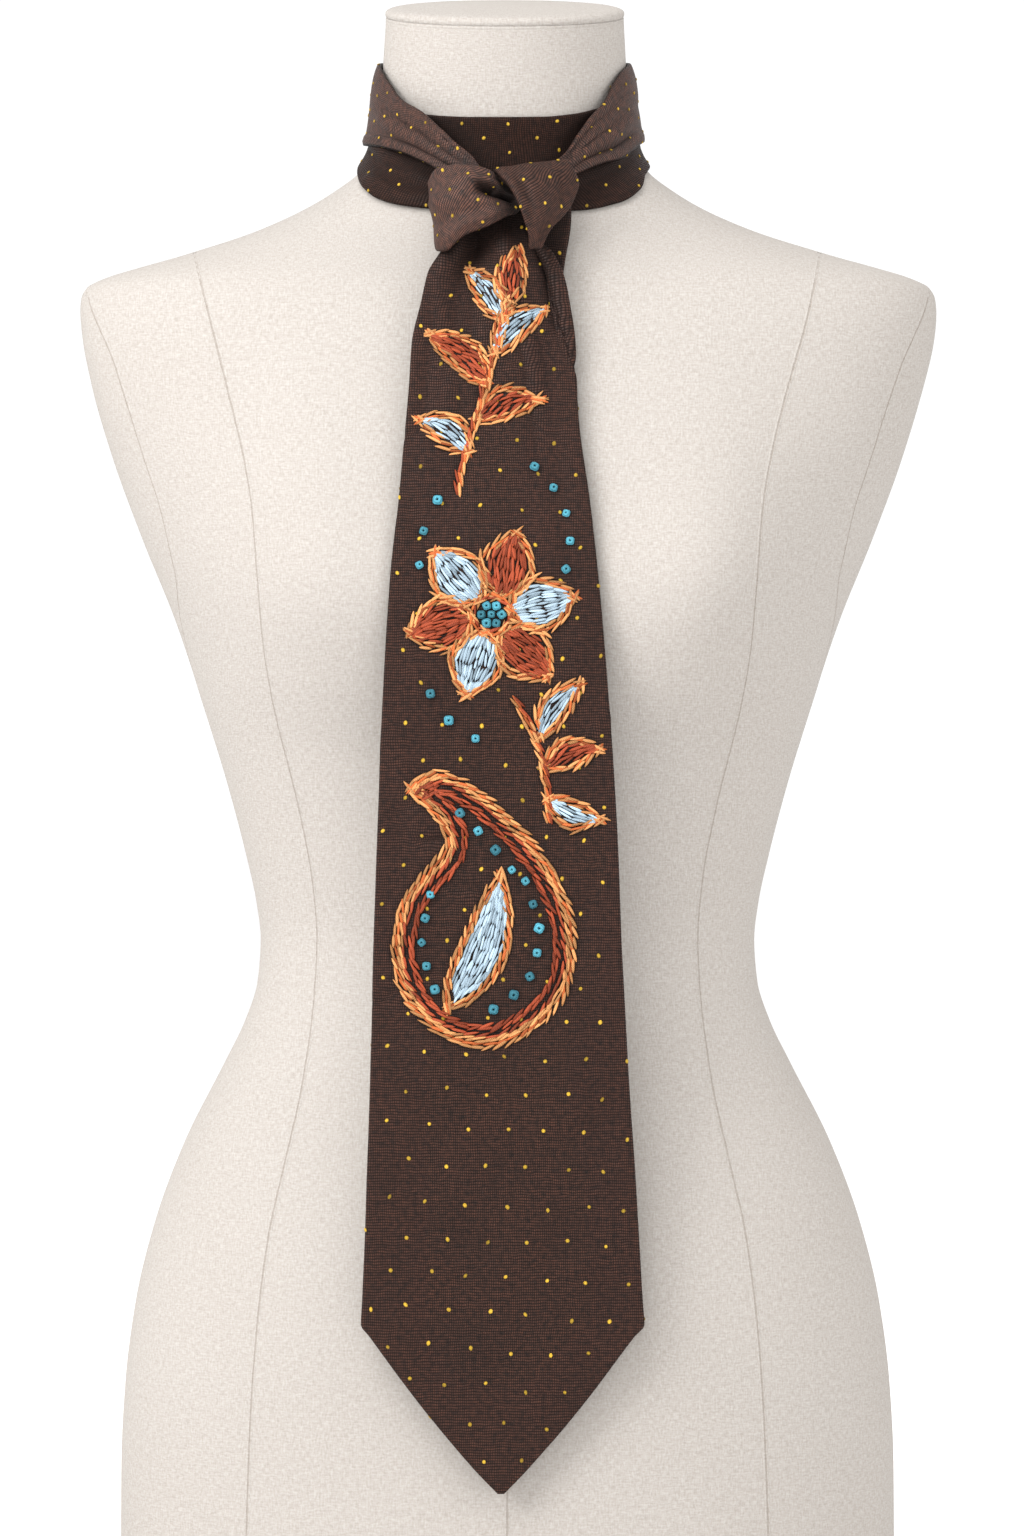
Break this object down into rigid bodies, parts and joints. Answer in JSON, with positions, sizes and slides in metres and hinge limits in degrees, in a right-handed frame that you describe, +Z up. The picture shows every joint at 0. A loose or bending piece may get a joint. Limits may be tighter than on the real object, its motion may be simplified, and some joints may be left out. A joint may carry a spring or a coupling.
{
  "type": "embroidered necktie on a dress form",
  "caption": "Wide embroidered necktie wound twice round the neck of a limbless dress form and knotted in front, its pointed blade hanging down the front.",
  "frame": {"origin": "middle of the dress form's flat base, on the surface that it stands on", "axes": "+Z up along the form, the tie hangs on the -Y side, +X is on the right of someone who faces the tie"},
  "size_m": [0.3946, 0.249, 0.7482],
  "materials": {
    "tie_cloth": "fine ribbed weave in dark brown with small yellow pin dots, dull with a slight sheen",
    "form_cover": "plain linen-like weave in off-white, matt",
    "embroidery_thread": "stranded cotton thread with a soft sheen"
  },
  "bodies": {
    "root": {"form_body": "form_cover", "form_neck_cap": "form_cover", "inner_turn_front": "tie_cloth", "inner_turn_back": "tie_cloth", "outer_turn_left": "tie_cloth", "outer_turn_back": "tie_cloth", "outer_turn_right": "tie_cloth", "knot_wrap": "tie_cloth", "knot_flap": "tie_cloth", "knot_core": "tie_cloth", "blade_front": "tie_cloth", "tail_behind": "tie_cloth"}
  },
  "joints": []
}
